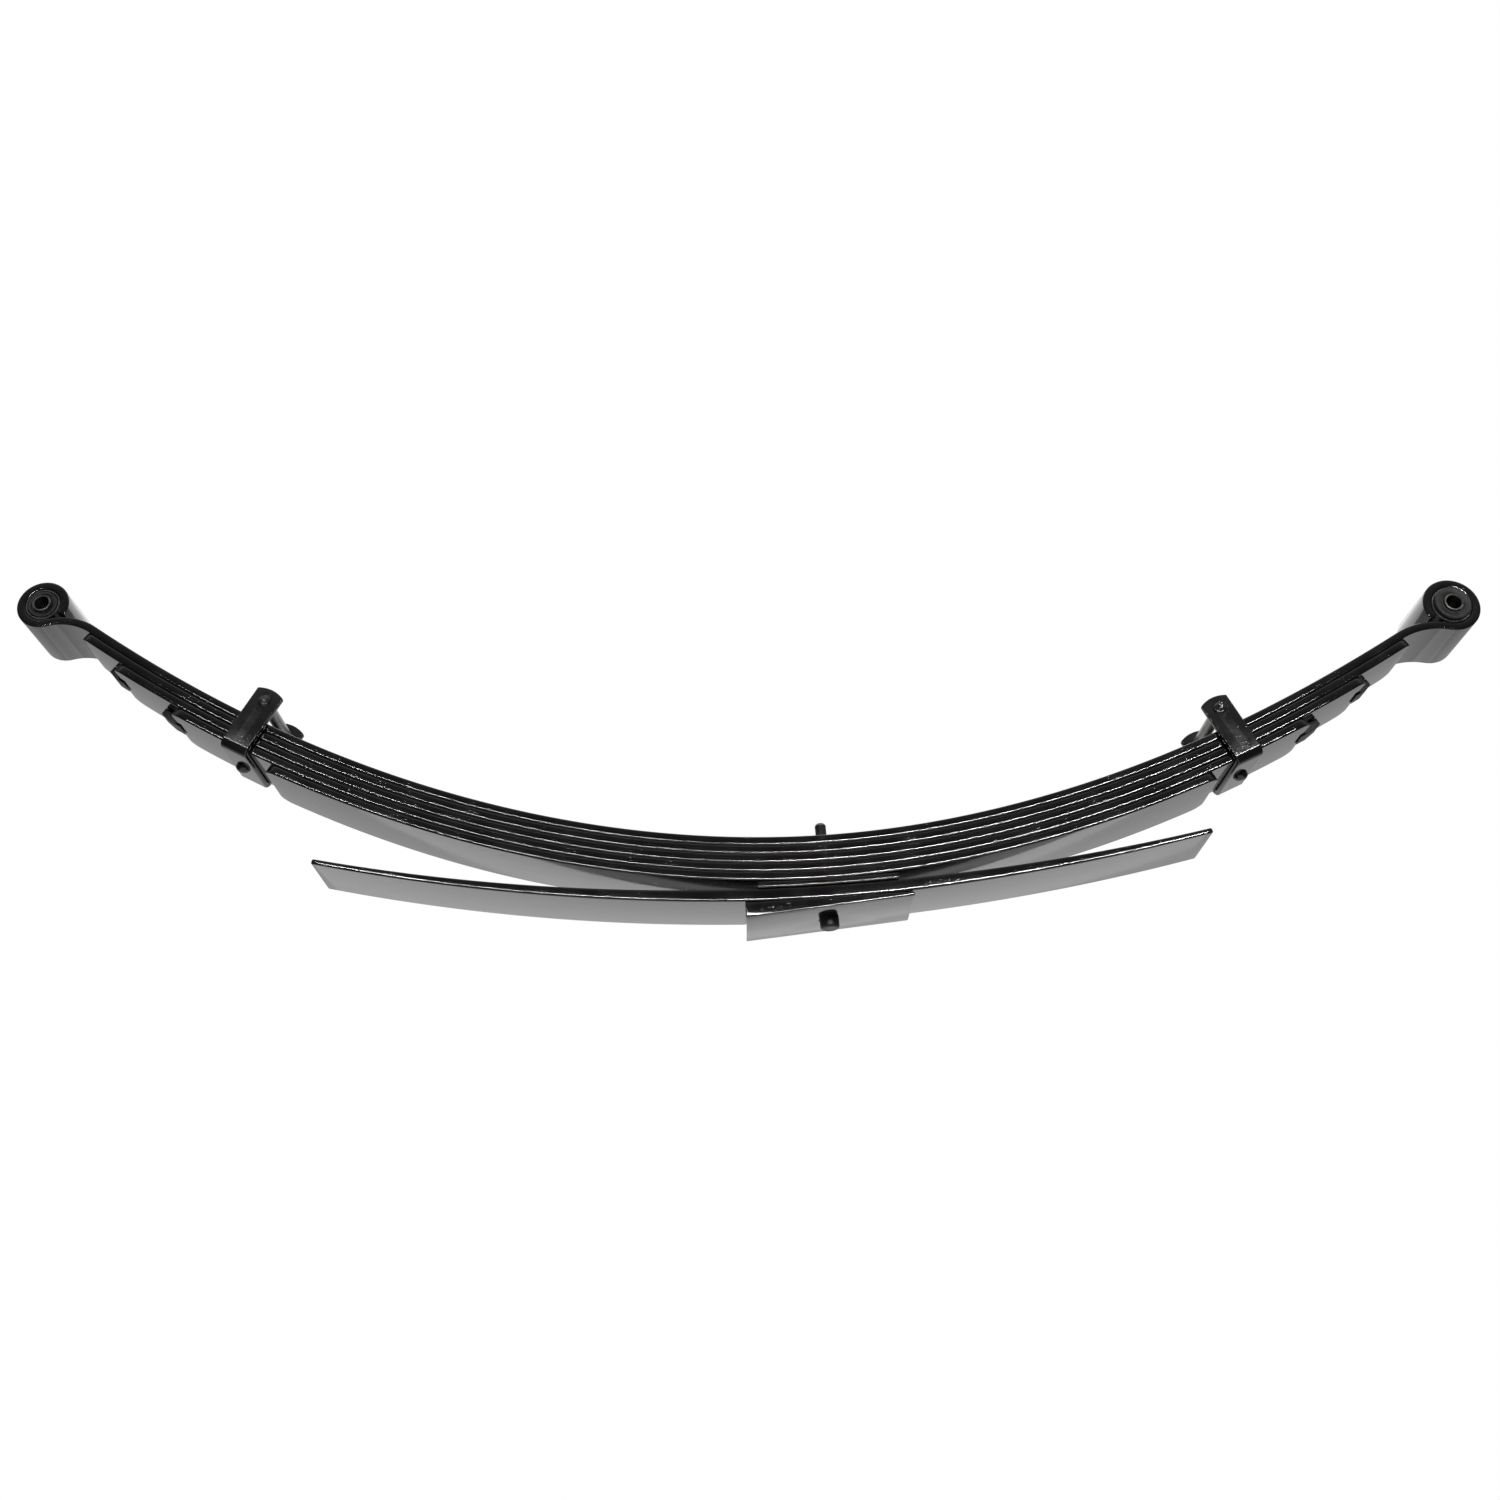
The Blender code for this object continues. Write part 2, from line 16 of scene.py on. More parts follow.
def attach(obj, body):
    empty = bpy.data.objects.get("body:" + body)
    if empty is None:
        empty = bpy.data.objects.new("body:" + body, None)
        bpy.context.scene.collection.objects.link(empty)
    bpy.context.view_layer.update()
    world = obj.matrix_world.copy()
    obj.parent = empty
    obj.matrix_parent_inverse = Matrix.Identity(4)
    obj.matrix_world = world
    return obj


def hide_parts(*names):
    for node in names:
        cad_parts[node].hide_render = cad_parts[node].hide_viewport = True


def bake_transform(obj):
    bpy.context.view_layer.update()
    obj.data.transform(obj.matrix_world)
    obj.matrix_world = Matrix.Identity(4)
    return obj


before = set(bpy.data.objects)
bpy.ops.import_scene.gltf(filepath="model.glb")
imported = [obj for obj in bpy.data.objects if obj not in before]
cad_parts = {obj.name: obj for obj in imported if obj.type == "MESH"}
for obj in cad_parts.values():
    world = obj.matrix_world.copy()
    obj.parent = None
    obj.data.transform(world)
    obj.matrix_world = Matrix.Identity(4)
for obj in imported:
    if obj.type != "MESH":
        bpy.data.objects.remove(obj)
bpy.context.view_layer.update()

FRONT, REAR = 1, -1
NAMES = {FRONT: "front", REAR: "rear"}
ACROSS = Vector((0, 1, 0))

# The part's own sizes
LEAF_WIDTH = 0.0635
LEAF_THICKNESS = 0.0073
GAP = 0.0003
LEAF_PITCH = LEAF_THICKNESS + GAP
LEAF_NAMES = ("main_leaf", "second_leaf", "third_leaf", "fourth_leaf", "fifth_leaf")
SPACER_THICKNESS = 0.0050
SPACER_HALF_LENGTH = 0.057
OVERLOAD_WIDTH = 0.0600
OVERLOAD_THICKNESS = 0.0106
OVERLOAD_TIP_THICKNESS = 0.0044
OVERLOAD_TAPER_START = 0.060
OVERLOAD_TIPS = {FRONT: 0.320, REAR: 0.422}
OVERLOAD_RADIUS = {FRONT: 1.88, REAR: 1.68}
WEDGE_THICKNESS = 0.0078
WEDGE_HALF_LENGTH = 0.0685
WEDGE_ANGLE = math.radians(3.68)
SEAT_ANGLE = math.radians(4.12)
CENTRE_CURVATURE = {FRONT: 1.342, REAR: 1.337}
CURVATURE_LOSS = {FRONT: 1.543, REAR: 1.036}
LEAF_TIPS = {FRONT: (0.547, 0.490, 0.425, 0.329), REAR: (0.677, 0.633, 0.565, 0.466)}
TIP_CORNER_RADIUS = 0.011
EYE_CENTRE = {FRONT: (0.5495, 0.2782), REAR: (0.6842, 0.2784)}
EYE_BORE_RADIUS = {FRONT: 0.0177, REAR: 0.0152}
EYE_ENTRY_SLOPE = {FRONT: math.radians(-10), REAR: math.radians(-16)}
EYE_WRAP = math.radians(312)
BEND_SEARCH = (0.5, 0.72)
SHELL_RADIUS = {FRONT: 0.0174, REAR: 0.0149}
SHELL_BORE_RADIUS = {FRONT: 0.0159, REAR: 0.0132}
RUBBER_RADIUS = {FRONT: 0.0156, REAR: 0.0129}
SLEEVE_RADIUS = {FRONT: 0.0084, REAR: 0.0080}
SLEEVE_BORE_RADIUS = {FRONT: 0.0065, REAR: 0.00615}
SLEEVE_OVERHANG = {FRONT: 0.0052, REAR: 0.0032}
BOLT_RADIUS = 0.00475
BOLT_HOLE_RADIUS = 0.00505
BOLT_STUB = 0.0223
BOLT_HEAD_RADIUS = 0.00795
BOLT_HEAD_HEIGHT = 0.0091
SPOT_FACE_RADIUS = 0.0089
SPOT_FACE_HEIGHT = 0.0006
NUT_ACROSS_FLATS = 0.01429
NUT_HEIGHT = 0.0083
CLAMP_ALONG = {FRONT: 0.359, REAR: 0.496}
CLAMPED_LEAVES = 4
STRAP_WIDTH = 0.025
STRAP_THICKNESS = 0.0046
STRAP_SIDE_CLEARANCE = 0.0010
STRAP_BEND_RADIUS = 0.0030
STRAP_ARM_HEIGHT = 0.0270
STRAP_ARM_CROWN = 0.0030
CROSS_BOLT_HEIGHT = 0.0150
CROSS_BOLT_RADIUS = 0.0040
CROSS_BOLT_HEAD_RADIUS = 0.0052
CROSS_BOLT_HEAD_HEIGHT = 0.0014
CROSS_BOLT_HOLE_RADIUS = 0.0043
TUBE_RADIUS = 0.0053
RIVET_RADIUS = 0.0035
RIVET_HEAD_RADIUS = 0.0065
RIVET_HEAD_HEIGHT = 0.0050
PAD_HALF_WIDTH = 0.0085
PAD_LENGTHS = {2: 0.013, 3: 0.017}
PAD_TOE_THICKNESS = 0.0064
PAD_TONGUE_LENGTH = 0.004
PAD_TONGUE_THICKNESS = 0.0010

# Detail that only the looks have
EDGE_BULGE = 0.0014
EDGE_POWER = 4.0
EDGE_STEPS = 14
TIP_THINNING = 0.0007
OVERLOAD_TIP_INSET = 0.0006
OVERLOAD_TIP_ROUNDING = 0.0012
WEDGE_BEVEL = 0.0009
STRAP_BEVEL = 0.0008
PAD_BEVEL = 0.0007
PAD_SLOPE_LENGTH = 0.005
THREAD_PITCH = 0.00159
THREAD_DEPTH = 0.00042
THREAD_START_DEPTH = 0.004
BOLT_HEAD_FLAT_RADIUS = 0.0046
BOLT_HEAD_ROUND = 0.0022
BOLT_HEAD_EDGE = 0.0004
NUT_CHAMFER_START = 1.02
NUT_CHAMFER_SLOPE = 1.75
RUBBER_LIP_RADIUS = {FRONT: 0.0158, REAR: 0.0126}
RUBBER_OVERHANG = {FRONT: 0.0040, REAR: 0.0008}
FLEX_START, FLEX_END = 0.05, 0.25
STATION_STEP = 0.008
DRILL_OVERRUN = 0.02
SHARP_DEGREES = 32
BEVELLED_SHARP_DEGREES = 50

# The studio
VIEW_CENTRE_X = -0.0650
FLOOR_RADIUS = 1.35
FLOOR_HEIGHT = -0.75
STRIP_WIDTH = 0.014
STRIP_SPREAD_DEGREES = 76
STRIP_INNER_END = (-0.1, -2.05, 0.20)
SURROUND_BASE = 0.06


# ---------------------------------------------------------------- curves of the spring


def evenly(start, end, step):
    """Values from start to end, both included, no further apart than step."""
    count = max(1, math.ceil(abs(end - start) / step - 1e-9))
    return [start + (end - start) * n / count for n in range(count + 1)]


def stack_height():
    """Height of the main leaf's top face over the axle seat, along the centre bolt."""
    below = WEDGE_THICKNESS + GAP + OVERLOAD_THICKNESS + GAP + SPACER_THICKNESS
    return below + len(LEAF_NAMES) * LEAF_PITCH


def seat_point(height):
    """The point of the centre bolt's axis at a height over the axle seat, as (x, z)."""
    return -height * math.sin(SEAT_ANGLE), height * math.cos(SEAT_ANGLE)


def bolt_axis():
    return Vector((-math.sin(SEAT_ANGLE), 0.0, math.cos(SEAT_ANGLE)))


def below_top(side, along, depth):
    """(outward, height, slope) of a point under the pack's top face, square to it."""
    x, height = seat_point(stack_height())
    outward = side * x
    steps = 120
    step = along / steps
    start, rate, loss = side * SEAT_ANGLE, CENTRE_CURVATURE[side], CURVATURE_LOSS[side]
    for count in range(steps):
        middle = (count + 0.5) * step
        slope = start + rate * middle - loss * middle**2 / 2
        outward += step * math.cos(slope)
        height += step * math.sin(slope)
    slope = start + rate * along - loss * along**2 / 2
    return outward + depth * math.sin(slope), height - depth * math.cos(slope), slope


def overload_curve(side, along, raised=0.0):
    """(outward, height, slope) of a point raised square off the overload leaf's top face."""
    x, height = seat_point(WEDGE_THICKNESS + GAP + OVERLOAD_THICKNESS)
    start = side * SEAT_ANGLE
    radius = OVERLOAD_RADIUS[side]
    slope = start + along / radius
    outward = side * x + radius * (math.sin(slope) - math.sin(start)) - raised * math.sin(slope)
    height += radius * (math.cos(start) - math.cos(slope)) + raised * math.cos(slope)
    return outward, height, slope


def reverse_bend(side):
    """(along, radius) of the bend that carries the main leaf's mid-line into its eye."""
    entry = EYE_ENTRY_SLOPE[side]
    eye_radius = EYE_BORE_RADIUS[side] + LEAF_THICKNESS / 2
    eye_outward = EYE_CENTRE[side][0] + eye_radius * math.sin(entry)
    eye_height = EYE_CENTRE[side][1] - eye_radius * math.cos(entry)
    low, high = BEND_SEARCH
    radius = 0.0
    for _ in range(40):
        along = (low + high) / 2
        outward, height, slope = below_top(side, along, LEAF_THICKNESS / 2)
        run = eye_outward - outward
        rise = eye_height - height
        turn = math.sin(slope) - math.sin(entry)
        radius = run / turn
        if run * (math.cos(entry) - math.cos(slope)) < rise * turn:
            low = along
        else:
            high = along
    return low, radius


def eye_path(side):
    """Mid-line stations (outward, height, slope) of the reverse bend and the eye."""
    along, radius = reverse_bend(side)
    outward, height, slope = below_top(side, along, LEAF_THICKNESS / 2)
    start = EYE_ENTRY_SLOPE[side]
    stations = []
    for angle in evenly(slope, start, math.radians(3))[1:]:
        stations.append((outward + radius * (math.sin(slope) - math.sin(angle)),
                         height + radius * (math.cos(angle) - math.cos(slope)), angle))
    eye_radius = EYE_BORE_RADIUS[side] + LEAF_THICKNESS / 2
    for angle in evenly(start, start + EYE_WRAP, math.radians(5))[1:]:
        stations.append((EYE_CENTRE[side][0] + eye_radius * math.sin(angle),
                         EYE_CENTRE[side][1] - eye_radius * math.cos(angle), angle))
    return stations


def eye_point(side):
    outward, height = EYE_CENTRE[side]
    return Vector((side * outward, 0.0, height))


def clamp_frame(side):
    """A clamp's point on the pack's top face, its up direction and its lengthwise one."""
    outward, height, slope = below_top(side, CLAMP_ALONG[side], 0.0)
    point = Vector((side * outward, 0.0, height))
    up = Vector((-side * math.sin(slope), 0.0, math.cos(slope)))
    return point, up, Vector((side * math.cos(slope), 0.0, math.sin(slope)))


def clamp_depth():
    """Depth of the clamped leaves' under face below the pack's top face."""
    return CLAMPED_LEAVES * LEAF_PITCH - GAP


# ---------------------------------------------------------------- meshes


def add_object(name, made, finish, smooth_angle=SHARP_DEGREES):
    """Turns a bmesh into an object of one material, shaded smooth up to an angle."""
    bmesh.ops.recalc_face_normals(made, faces=made.faces)
    mesh = bpy.data.meshes.new(name)
    made.to_mesh(mesh)
    made.free()
    mesh.shade_smooth()
    mesh.set_sharp_from_angle(angle=math.radians(smooth_angle))
    mesh.materials.append(finish)
    result = bpy.data.objects.new(name, mesh)
    bpy.context.scene.collection.objects.link(result)
    return result


def skin(rings, closed=False):
    """A bmesh through equal rings of points: capped at both ends, or closed on itself."""
    made = bmesh.new()
    loops = [[made.verts.new(point) for point in ring] for ring in rings]
    pairs = list(zip(loops, loops[1:]))
    if closed:
        pairs.append((loops[-1], loops[0]))
    for first, second in pairs:
        for n, corner in enumerate(first):
            after = (n + 1) % len(first)
            made.faces.new((corner, first[after], second[after], second[n]))
    if not closed:
        made.faces.new(loops[0])
        made.faces.new(loops[-1])
    return made


def soften(target, width, segments=3, angle=SHARP_DEGREES):
    """Rounds an object's corners with an applied bevel, and smooths its shading."""
    bevel = target.modifiers.new("soft_corners", "BEVEL")
    bevel.width = width
    bevel.segments = segments
    bevel.limit_method = "ANGLE"
    bevel.angle_limit = math.radians(angle)
    apply_modifiers(target)
    target.data.shade_smooth()
    target.data.set_sharp_from_angle(angle=math.radians(BEVELLED_SHARP_DEGREES))


def apply_modifiers(target):
    graph = bpy.context.evaluated_depsgraph_get()
    mesh = bpy.data.meshes.new_from_object(target.evaluated_get(graph))
    target.modifiers.clear()
    target.data = mesh


def drill(target, radius, point, axis, half_length):
    """Cuts a round hole through an object, and applies it."""
    cutter = add_object("cutter", disc_stack(((radius, -half_length), (radius, half_length)),
                                             point, axis, 48), target.data.materials[0])
    cut = target.modifiers.new("hole", "BOOLEAN")
    cut.operation = "DIFFERENCE"
    cut.solver = "EXACT"
    cut.object = cutter
    apply_modifiers(target)
    bpy.data.objects.remove(cutter, do_unlink=True)
    target.data.set_sharp_from_angle(angle=math.radians(SHARP_DEGREES))


def drill_for_center_bolt(target):
    """Cuts the centre bolt's hole through a leaf or a plate of the stack."""
    middle = bolt_axis() * stack_height() / 2
    drill(target, BOLT_HOLE_RADIUS, middle, bolt_axis(), stack_height() / 2 + DRILL_OVERRUN)


def rolled_section(half_width, half_thickness):
    """Corners (across, up) of a bar's section, flat on both faces and round on its edges."""
    side = []
    for n in range(EDGE_STEPS + 1):
        turn = math.pi / 2 - math.pi * n / EDGE_STEPS
        swell = abs(math.cos(turn)) ** (2 / EDGE_POWER)
        rise = math.copysign(abs(math.sin(turn)) ** (2 / EDGE_POWER), math.sin(turn))
        side.append((half_width - EDGE_BULGE * (1 - swell), half_thickness * rise))
    return side + [(-across, -up) for across, up in side]


def bar(stations):
    """A bar through stations (side, outward, height, slope, half width, half thickness)."""
    rings = []
    for side, outward, height, slope, half_width, half_thickness in stations:
        up = -side * math.sin(slope), math.cos(slope)
        rings.append([(side * outward + z * up[0], y, height + z * up[1])
                      for y, z in rolled_section(half_width, half_thickness)])
    return skin(rings)


def turned(profile, point, axis, sides=96):
    """Revolves a closed profile of (radius, along) round an axis through a point."""
    spin = Vector(axis).to_track_quat("Z", "Y").to_matrix()
    rings = []
    for n in range(sides):
        a = 2 * math.pi * n / sides
        rings.append([spin @ Vector((r * math.cos(a), r * math.sin(a), z)) + Vector(point)
                      for r, z in profile])
    return skin(rings, closed=True)


def disc_stack(profile, point, axis, sides=64):
    """A solid through coaxial circles of (radius, along), capped flat at both ends."""
    spin = Vector(axis).to_track_quat("Z", "Y").to_matrix()
    rings = []
    for radius, along in profile:
        turns = [2 * math.pi * n / sides for n in range(sides)]
        rings.append([spin @ Vector((radius * math.cos(a), radius * math.sin(a), along))
                      + Vector(point) for a in turns])
    return skin(rings)


def arc(centre, radius, start, end, steps=6):
    """(radius, along) points of an arc between two angles in degrees."""
    turns = [math.radians(start + (end - start) * n / steps) for n in range(steps + 1)]
    return [(centre[0] + radius * math.cos(a), centre[1] + radius * math.sin(a)) for a in turns]


# ---------------------------------------------------------------- materials


class Nodes:
    """Short ways to wire one material's nodes."""

    def __init__(self, name):
        self.material = bpy.data.materials.new(name)
        self.material.use_nodes = True
        self.tree = self.material.node_tree
        self.shader = self.tree.nodes["Principled BSDF"]
        self.coordinates = self.add("ShaderNodeTexCoord").outputs["Object"]

    def add(self, kind, **settings):
        node = self.tree.nodes.new(kind)
        for key, value in settings.items():
            setattr(node, key, value)
        return node

    def link(self, source, target):
        self.tree.links.new(source, target)

    def stretched(self, scale):
        mapping = self.add("ShaderNodeMapping")
        mapping.inputs["Scale"].default_value = scale
        self.link(self.coordinates, mapping.inputs["Vector"])
        return mapping.outputs["Vector"]

    def noise(self, scale, detail=3.0, roughness=0.55, stretch=None):
        node = self.add("ShaderNodeTexNoise")
        node.inputs["Scale"].default_value = scale
        node.inputs["Detail"].default_value = detail
        node.inputs["Roughness"].default_value = roughness
        self.link(self.stretched(stretch) if stretch else self.coordinates, node.inputs["Vector"])
        return node.outputs["Fac"]

    def cells(self, scale):
        node = self.add("ShaderNodeTexVoronoi")
        node.inputs["Scale"].default_value = scale
        self.link(self.coordinates, node.inputs["Vector"])
        return node.outputs["Distance"]

    def ranged(self, value, low, high, to_low, to_high):
        node = self.add("ShaderNodeMapRange", interpolation_type="SMOOTHSTEP")
        self.link(value, node.inputs["Value"])
        for socket, number in zip(("From Min", "From Max", "To Min", "To Max"),
                                  (low, high, to_low, to_high)):
            node.inputs[socket].default_value = number
        return node.outputs["Result"]

    def mixed(self, share, first, second):
        node = self.add("ShaderNodeMix", data_type="RGBA")
        self.link(share, node.inputs["Factor"])
        for socket, colour in ((node.inputs["A"], first), (node.inputs["B"], second)):
            if isinstance(colour, tuple):
                socket.default_value = (*colour, 1.0)
            else:
                self.link(colour, socket)
        return node.outputs["Result"]

    def combined(self, first, second, operation="ADD"):
        node = self.add("ShaderNodeMath", operation=operation)
        for socket, value in zip(node.inputs, (first, second)):
            if isinstance(value, (int, float)):
                socket.default_value = value
            else:
                self.link(value, socket)
        return node.outputs["Value"]

    def bumps(self, *layers):
        """Stacks bumps of (height, distance in metres, strength) on the shader."""
        normal = None
        for height, distance, strength in layers:
            node = self.add("ShaderNodeBump")
            node.inputs["Distance"].default_value = distance
            node.inputs["Strength"].default_value = strength
            self.link(height, node.inputs["Height"])
            if normal:
                self.link(normal, node.inputs["Normal"])
            normal = node.outputs["Normal"]
        self.link(normal, self.shader.inputs["Normal"])

    def colour(self, value):
        self.link(value, self.shader.inputs["Base Color"])

    def rough(self, value):
        self.link(value, self.shader.inputs["Roughness"])


def black_paint(name, gloss=0.06, peel=0.45, dust=0.45):
    """Black paint over rolled steel: orange peel, nibs, thin dust and worn edges."""
    n = Nodes(name)
    patches = n.noise(28, 4, 0.6)
    streaks = n.noise(70, 3, 0.6, stretch=(0.25, 1.0, 1.0))
    grain = n.noise(420, 4, 0.65, stretch=(0.35, 1.0, 1.0))
    nibs = n.ranged(n.cells(420), 0.0, 0.32, 1.0, 0.0)
    rare = n.ranged(n.noise(75, 2), 0.52, 0.68, 0.0, 1.0)
    specks = n.combined(nibs, rare, "MULTIPLY")
    edges = n.ranged(n.add("ShaderNodeNewGeometry").outputs["Pointiness"], 0.52, 0.60, 0.0, 1.0)
    patchy = n.ranged(n.noise(160, 4, 0.65), 0.50, 0.62, 0.0, 0.55)
    worn = n.combined(edges, patchy, "MULTIPLY")
    film = n.mixed(n.ranged(patches, 0.40, 0.68, 0.0, dust), (0.0030, 0.0031, 0.0033),
                   (0.011, 0.0105, 0.010))
    n.colour(n.mixed(worn, film, (0.075, 0.072, 0.068)))
    base = n.ranged(patches, 0.35, 0.70, gloss, gloss + 0.06)
    n.rough(n.combined(base, n.combined(specks, 0.12, "MULTIPLY")))
    ripples = n.noise(240, 3, 0.5)
    n.bumps((streaks, 0.0002, peel), (grain, 0.00005, peel), (ripples, 0.00006, peel),
            (specks, 0.00018, 0.8))
    n.shader.inputs["Specular IOR Level"].default_value = 0.62
    n.shader.inputs["Coat Weight"].default_value = 0.3
    n.shader.inputs["Coat Roughness"].default_value = 0.04
    return n.material


def bare_steel(name, tone, metal, gloss, lines=(1.0, 8.0, 1.0)):
    """Plain or phosphated steel with machining lines, stains and a grainy surface."""
    n = Nodes(name)
    stains = n.noise(90, 5, 0.62)
    turning = n.noise(420, 3, 0.6, stretch=lines)
    dark, light = (tone * 0.55,) * 3, (tone * 1.25, tone * 1.22, tone * 1.17)
    n.colour(n.mixed(n.ranged(stains, 0.36, 0.66, 0.0, 1.0), dark, light))
    n.rough(n.combined(n.ranged(stains, 0.3, 0.7, gloss, gloss + 0.18),
                  n.ranged(turning, 0.4, 0.6, -0.05, 0.05)))
    n.bumps((turning, 0.00008, 0.5), (n.noise(900, 3), 0.00008, 0.5), (stains, 0.0003, 0.2))
    n.shader.inputs["Metallic"].default_value = metal
    return n.material


def black_rubber(name):
    """Moulded rubber: fine grain, faint bloom and flow marks."""
    n = Nodes(name)
    bloom = n.noise(120, 4, 0.6)
    n.colour(n.mixed(n.ranged(bloom, 0.42, 0.68, 0.0, 1.0), (0.012, 0.012, 0.012),
                     (0.034, 0.033, 0.031)))
    n.rough(n.ranged(bloom, 0.3, 0.7, 0.50, 0.70))
    n.bumps((n.noise(700, 3), 0.00012, 0.5), (n.noise(160, 3), 0.0004, 0.35))
    return n.material


def black_plastic(name):
    """Moulded plastic with a fine spark-eroded grain and scuffs."""
    n = Nodes(name)
    scuffs = n.noise(210, 4, 0.7, stretch=(0.4, 1.0, 1.0))
    n.colour(n.mixed(n.ranged(scuffs, 0.52, 0.70, 0.0, 1.0), (0.009, 0.009, 0.010),
                     (0.030, 0.030, 0.030)))
    n.rough(n.ranged(scuffs, 0.35, 0.65, 0.38, 0.56))
    n.bumps((n.noise(1300, 2), 0.00006, 0.6), (scuffs, 0.00015, 0.3))
    return n.material


LEAF_PAINT = black_paint("leaf_black_paint")
PLATE_PAINT = black_paint("plate_black_paint", gloss=0.07, peel=0.5, dust=0.4)
STRAP_PAINT = black_paint("strap_black_paint", gloss=0.13, peel=0.5, dust=0.8)
BOLT_STEEL = bare_steel("phosphated_steel", 0.035, 0.55, 0.34)
SHELL_STEEL = bare_steel("bushing_steel", 0.11, 0.80, 0.24)
SLEEVE_STEEL = bare_steel("sleeve_steel", 0.13, 0.85, 0.26)
TUBE_STEEL = bare_steel("plain_tube_steel", 0.30, 0.85, 0.36)
RUBBER = black_rubber("moulded_rubber")
PLASTIC = black_plastic("moulded_plastic")


# ---------------------------------------------------------------- the leaves


def leaf_half_stations(index, side):
    """Stations of one half of a pack leaf, from the centre bolt to its tip or eye."""
    depth = index * LEAF_PITCH + LEAF_THICKNESS / 2
    half_width, half_thickness = LEAF_WIDTH / 2, LEAF_THICKNESS / 2
    if index == 0:
        end, _ = reverse_bend(side)
        mid = [below_top(side, along, depth) for along in evenly(0.0, end, STATION_STEP)]
        mid += eye_path(side)
        return [(side, *station, half_width, half_thickness) for station in mid]
    tip = LEAF_TIPS[side][index - 1]
    start = tip - TIP_CORNER_RADIUS
    stations = [(side, *below_top(side, along, depth), half_width, half_thickness)
                for along in evenly(0.0, start, STATION_STEP)[:-1]]
    for degrees in (0, 15, 30, 45, 58, 70, 80, 90):
        turn = math.radians(degrees)
        mid = below_top(side, start + TIP_CORNER_RADIUS * math.sin(turn), depth)
        narrowed = TIP_CORNER_RADIUS * (1 - math.cos(turn))
        thinned = TIP_THINNING * max(0.0, math.sin(turn) - 0.9) / 0.1
        stations.append((side, *mid, half_width - narrowed, half_thickness - thinned))
    return stations


def build_leaves():
    for index, node in enumerate(LEAF_NAMES):
        for side in (FRONT, REAR):
            name = f"{node}_{NAMES[side]}_half"
            half = add_object(name, bar(leaf_half_stations(index, side)), LEAF_PAINT)
            drill_for_center_bolt(half)
            for along in (FLEX_START, FLEX_END):
                outward, height, _ = below_top(side, along, 0.0)
            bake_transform(half)
            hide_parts(node)


def ride(piece, body, node):
    """Hangs a piece on a body, in the place of a node."""
    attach(piece, body)
    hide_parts(node)


def overload_half(side):
    tip = OVERLOAD_TIPS[side]
    stations = []
    rounded = tip - OVERLOAD_TIP_ROUNDING
    for along in evenly(0.0, rounded, STATION_STEP) + [tip - 0.0005, tip]:
        share = max(0.0, along - OVERLOAD_TAPER_START) / (tip - OVERLOAD_TAPER_START)
        thickness = OVERLOAD_THICKNESS + share * (OVERLOAD_TIP_THICKNESS - OVERLOAD_THICKNESS)
        into = max(0.0, along - rounded) / OVERLOAD_TIP_ROUNDING
        inset = OVERLOAD_TIP_INSET * into**2
        mid = overload_curve(side, along, -thickness / 2)
        stations.append((side, *mid, OVERLOAD_WIDTH / 2 - inset, thickness / 2 - inset))
    return stations


def build_overload():
    stations = overload_half(REAR)[:0:-1] + overload_half(FRONT)
    leaf = add_object("overload_leaf_bar", bar(stations), LEAF_PAINT)
    drill_for_center_bolt(leaf)
    ride(leaf, "spring_pack", "overload_leaf")


def spacer_half(side):
    stations = []
    for along in evenly(0.0, SPACER_HALF_LENGTH, STATION_STEP):
        mid = overload_curve(side, along, GAP + SPACER_THICKNESS / 2)
        stations.append((side, *mid, LEAF_WIDTH / 2, SPACER_THICKNESS / 2))
    return stations


def build_seat_plates():
    stations = spacer_half(REAR)[:0:-1] + spacer_half(FRONT)
    plate = add_object("pack_spacer_plate", bar(stations), PLATE_PAINT)
    drill_for_center_bolt(plate)
    ride(plate, "spring_pack", "pack_spacer")

    low = SEAT_ANGLE + WEDGE_ANGLE
    top_x, top_z = seat_point(WEDGE_THICKNESS)
    rings = []
    for across in (-LEAF_WIDTH / 2, LEAF_WIDTH / 2):
        ring = [(reach * math.cos(low), across, reach * math.sin(low))
                for reach in (-WEDGE_HALF_LENGTH, WEDGE_HALF_LENGTH)]
        ring += [(top_x + reach * math.cos(SEAT_ANGLE), across,
                  top_z + reach * math.sin(SEAT_ANGLE))
                 for reach in (WEDGE_HALF_LENGTH, -WEDGE_HALF_LENGTH)]
        rings.append(ring)
    wedge = add_object("axle_wedge_plate", skin(rings), PLATE_PAINT)
    soften(wedge, WEDGE_BEVEL, segments=4)
    under = bolt_axis() * (SPOT_FACE_HEIGHT - DRILL_OVERRUN)
    drill(wedge, SPOT_FACE_RADIUS, under, bolt_axis(), DRILL_OVERRUN)
    drill_for_center_bolt(wedge)
    ride(wedge, "spring_pack", "axle_wedge")


# ---------------------------------------------------------------- the centre bolt


def threaded_rings(start, end, sides=48):
    """Rings of (radius, along, turn) of a right-hand thread that fades at both ends."""
    rings = []
    for along in evenly(start, end, THREAD_PITCH / 8):
        fade = min(1.0, (along - start) / THREAD_PITCH, (end - along) / THREAD_PITCH)
        ring = []
        for n in range(sides):
            phase = (along / THREAD_PITCH - n / sides) % 1.0
            groove = THREAD_DEPTH * (1 - abs(2 * phase - 1)) * max(0.0, fade)
            ring.append((BOLT_RADIUS - groove, along, 2 * math.pi * n / sides))
        rings.append(ring)
    return rings


